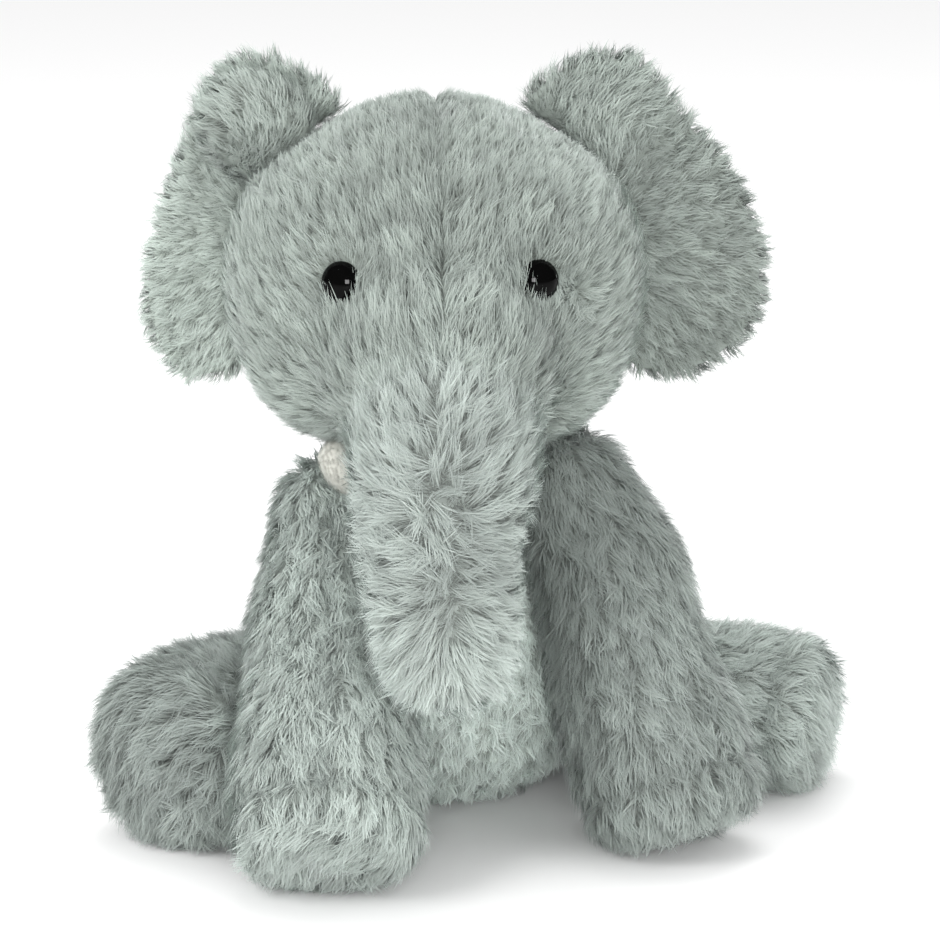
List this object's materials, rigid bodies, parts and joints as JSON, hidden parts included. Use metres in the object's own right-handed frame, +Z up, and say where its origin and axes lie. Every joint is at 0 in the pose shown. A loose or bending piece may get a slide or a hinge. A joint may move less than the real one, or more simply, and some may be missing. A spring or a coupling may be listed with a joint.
{
  "type": "stuffed elephant",
  "caption": "Seated stuffed plush elephant with a hanging trunk, large ears and splayed legs; its head, trunk, ears, legs and tail flex at their seams.",
  "frame": {"origin": "middle of the flat of the seat, on the surface that the toy sits on", "axes": "+Z up; the elephant faces -Y; its own left is +X"},
  "size_m": [0.1885, 0.1681, 0.1935],
  "materials": {
    "head_plush": "dense plush, combed down",
    "trunk_plush": "long plush, parted down the middle",
    "ear_plush": "medium plush",
    "body_plush": "medium plush, tousled",
    "short_pile": "short pile knit",
    "eye_plastic": "gloss",
    "washer_plastic": "matte",
    "filling": "loose polyester fibre",
    "pouch_cloth": "plain weave"
  },
  "bodies": {
    "torso": {"belly_panel": "body_plush", "back_panel_left": "body_plush", "back_panel_right": "body_plush", "torso_filling": "filling", "bean_pouch": "pouch_cloth"},
    "neck": {"neck_band": "short_pile", "neck_filling": "filling"},
    "head": {"head_side_left": "head_plush", "head_side_right": "head_plush", "chin_gusset": "short_pile", "head_filling_left": "filling", "head_filling_right": "filling", "chin_filling": "filling", "eye_left": "eye_plastic", "eye_right": "eye_plastic", "eye_washer_left": "washer_plastic", "eye_washer_right": "washer_plastic"},
    "trunk": {"trunk_side_left": "trunk_plush", "trunk_side_right": "trunk_plush", "trunk_filling": "filling"},
    "ear_left": {"ear_front_left": "ear_plush", "ear_back_left": "ear_plush"},
    "ear_right": {"ear_front_right": "ear_plush", "ear_back_right": "ear_plush"},
    "front_leg_left": {"front_leg_left_outer": "body_plush", "front_leg_left_inner": "body_plush", "front_leg_left_sole": "body_plush", "front_leg_left_filling": "filling"},
    "front_leg_right": {"front_leg_right_outer": "body_plush", "front_leg_right_inner": "body_plush", "front_leg_right_sole": "body_plush", "front_leg_right_filling": "filling"},
    "hind_leg_left": {"hind_leg_left_outer": "body_plush", "hind_leg_left_inner": "body_plush", "hind_leg_left_sole": "body_plush", "hind_leg_left_filling": "filling"},
    "hind_leg_right": {"hind_leg_right_outer": "body_plush", "hind_leg_right_inner": "body_plush", "hind_leg_right_sole": "body_plush", "hind_leg_right_filling": "filling"},
    "tail": {"tail_strip": "body_plush"}
  },
  "joints": [
    {"name": "head_turn", "type": "hinge", "parent": "torso", "child": "neck", "pos_m": [-0.001, -0.019, 0.097], "axis": [0, 0, 1], "range_deg": [-7, 7], "stiffness_Nm_per_rad": 0.6},
    {"name": "head_nod", "type": "hinge", "parent": "neck", "child": "head", "pos_m": [-0.001, -0.019, 0.097], "axis": [1, 0, 0], "range_deg": [-10, 4], "stiffness_Nm_per_rad": 0.9},
    {"name": "trunk_lift", "type": "hinge", "parent": "head", "child": "trunk", "pos_m": [0.00018, -0.06395, 0.126], "axis": [-0.9986, -0.0523, 0], "range_deg": [0, 22], "stiffness_Nm_per_rad": 0.25},
    {"name": "ear_flap_left", "type": "hinge", "parent": "head", "child": "ear_left", "pos_m": [0.04381, -0.0116, 0.15426], "axis": [0.3455, 0.0181, -0.9383], "range_deg": [-15, 15], "stiffness_Nm_per_rad": 0.05},
    {"name": "ear_flap_right", "type": "hinge", "parent": "head", "child": "ear_right", "pos_m": [-0.04868, -0.01645, 0.15426], "axis": [0.3455, 0.0181, 0.9383], "range_deg": [-15, 15], "stiffness_Nm_per_rad": 0.05},
    {"name": "front_leg_left_swing", "type": "hinge", "parent": "torso", "child": "front_leg_left", "pos_m": [0.032, -0.028, 0.08432], "axis": [-0.9285, 0, 0.3714], "range_deg": [0, 20], "stiffness_Nm_per_rad": 0.3},
    {"name": "front_leg_right_swing", "type": "hinge", "parent": "torso", "child": "front_leg_right", "pos_m": [-0.027, -0.036, 0.07989], "axis": [-0.9285, 0, -0.3714], "range_deg": [0, 20], "stiffness_Nm_per_rad": 0.3},
    {"name": "hind_leg_left_splay", "type": "hinge", "parent": "torso", "child": "hind_leg_left", "pos_m": [0.03, 0.008, 0.02219], "axis": [0, -0.2873, 0.9578], "range_deg": [0, 15], "stiffness_Nm_per_rad": 0.3},
    {"name": "hind_leg_right_splay", "type": "hinge", "parent": "torso", "child": "hind_leg_right", "pos_m": [-0.027, -0.006, 0.02569], "axis": [0, 0.2873, -0.9578], "range_deg": [0, 15], "stiffness_Nm_per_rad": 0.3},
    {"name": "tail_wag", "type": "hinge", "parent": "torso", "child": "tail", "pos_m": [0, 0.036, 0.036], "axis": [0, 0, 1], "range_deg": [-25, 25], "stiffness_Nm_per_rad": 0.01}
  ]
}
